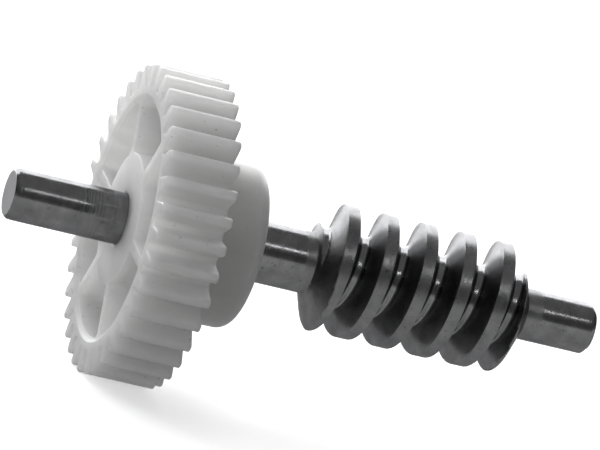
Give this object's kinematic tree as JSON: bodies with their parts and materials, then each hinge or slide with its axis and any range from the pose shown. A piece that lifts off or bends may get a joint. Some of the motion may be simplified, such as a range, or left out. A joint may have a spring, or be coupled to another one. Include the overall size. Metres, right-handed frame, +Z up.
{
  "type": "worm gear set",
  "caption": "Geared worm shaft: a white nylon spur gear with a ribbed face and a long hub, fixed on a ground steel shaft with a deep left-hand worm and a plain bearing journal at each end.",
  "frame": {"origin": "centre of the flat end face of the journal at the gear end, on the shaft's axis", "axes": "+X along the shaft from the gear end to the worm end, +Z up, +Y completes the right-handed frame"},
  "size_m": [0.071, 0.0361, 0.036],
  "materials": {
    "worm_steel": "turned and ground steel, fine marks round the axis, lightly oiled",
    "gear_nylon": "natural white nylon, slightly translucent, satin moulded surface"
  },
  "bodies": {
    "root": {"worm_shaft": "worm_steel", "drive_gear": "gear_nylon"}
  },
  "joints": []
}
